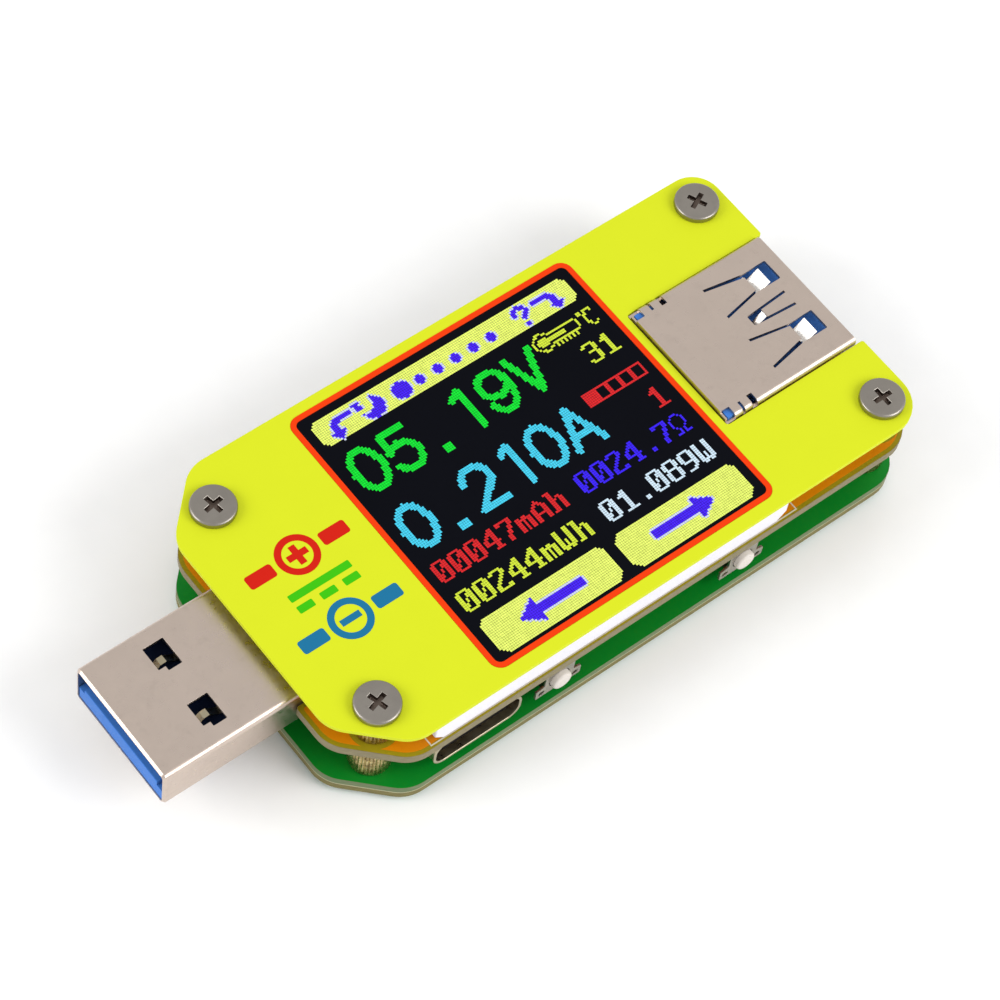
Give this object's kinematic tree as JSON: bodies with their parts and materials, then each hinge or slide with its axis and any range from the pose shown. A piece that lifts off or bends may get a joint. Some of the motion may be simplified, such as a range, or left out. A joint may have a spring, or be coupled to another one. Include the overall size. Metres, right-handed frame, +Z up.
{
  "type": "usb power meter",
  "caption": "In-line USB power meter: stacked boards on brass spacers, USB-A plug and socket, Type-C ports, colour display and sprung side buttons.",
  "frame": {"origin": "bottom centre of the bounding box, on the plane of the bottom screw heads that the meter rests on", "axes": "+X from the plug to the socket, +Z up through the display, -Y towards the long edge with the input port"},
  "size_m": [0.0716, 0.0308, 0.0117],
  "materials": {
    "yellow_print": "printed acrylic",
    "white_plastic": "satin",
    "dark_glass": "polished",
    "polyimide": "film",
    "yellow_board": "solder mask",
    "green_board": "solder mask",
    "screw_steel": "nickel plated",
    "brass": "knurled",
    "nickel": "satin",
    "blue_plastic": "moulded",
    "black_plastic": "moulded",
    "gold": "gold plated",
    "ceramic": "matt"
  },
  "bodies": {
    "meter": {"top_cover": "yellow_print", "display_frame": "white_plastic", "display_glass": "dark_glass", "display_flex": "polyimide", "main_board": "yellow_board", "bottom_cover": "green_board", "top_screw_1": "screw_steel", "top_screw_2": "screw_steel", "top_screw_3": "screw_steel", "top_screw_4": "screw_steel", "bottom_screw_1": "screw_steel", "bottom_screw_2": "screw_steel", "bottom_screw_3": "screw_steel", "bottom_screw_4": "screw_steel", "upper_spacer_1": "brass", "upper_spacer_2": "brass", "upper_spacer_3": "brass", "upper_spacer_4": "brass", "lower_standoff_1": "brass", "lower_standoff_2": "brass", "lower_standoff_3": "brass", "lower_standoff_4": "brass", "plug_shell": "nickel", "plug_insulator": "blue_plastic", "plug_contact_1": "gold", "plug_contact_2": "gold", "plug_contact_3": "gold", "plug_contact_4": "gold", "socket_shell": "nickel", "socket_insulator": "blue_plastic", "socket_contact_1": "gold", "socket_contact_2": "gold", "socket_contact_3": "gold", "socket_contact_4": "gold", "input_port_shell": "nickel", "input_port_tongue": "black_plastic", "output_port_shell": "nickel", "output_port_tongue": "black_plastic", "button_housing_1": "nickel", "button_housing_2": "nickel", "button_housing_3": "nickel", "button_housing_4": "nickel", "microcontroller": "black_plastic", "sense_amplifier": "black_plastic", "shunt_resistor_1": "black_plastic", "shunt_resistor_2": "black_plastic", "voltage_regulator": "black_plastic", "crystal": "nickel", "input_capacitor": "ceramic", "output_capacitor": "ceramic"},
    "front_button_1": {"button_plunger_1": "white_plastic"},
    "front_button_2": {"button_plunger_2": "white_plastic"},
    "back_button_1": {"button_plunger_3": "white_plastic"},
    "back_button_2": {"button_plunger_4": "white_plastic"}
  },
  "joints": [
    {"name": "front_button_1_press", "type": "slide", "parent": "meter", "child": "front_button_1", "axis": [0, 1, 0], "range_m": [0, 0.00025], "stiffness_N_per_m": 4000, "springref_m": -0.0001},
    {"name": "front_button_2_press", "type": "slide", "parent": "meter", "child": "front_button_2", "axis": [0, 1, 0], "range_m": [0, 0.00025], "stiffness_N_per_m": 4000, "springref_m": -0.0001},
    {"name": "back_button_1_press", "type": "slide", "parent": "meter", "child": "back_button_1", "axis": [0, -1, 0], "range_m": [0, 0.00025], "stiffness_N_per_m": 4000, "springref_m": -0.0001},
    {"name": "back_button_2_press", "type": "slide", "parent": "meter", "child": "back_button_2", "axis": [0, -1, 0], "range_m": [0, 0.00025], "stiffness_N_per_m": 4000, "springref_m": -0.0001}
  ]
}
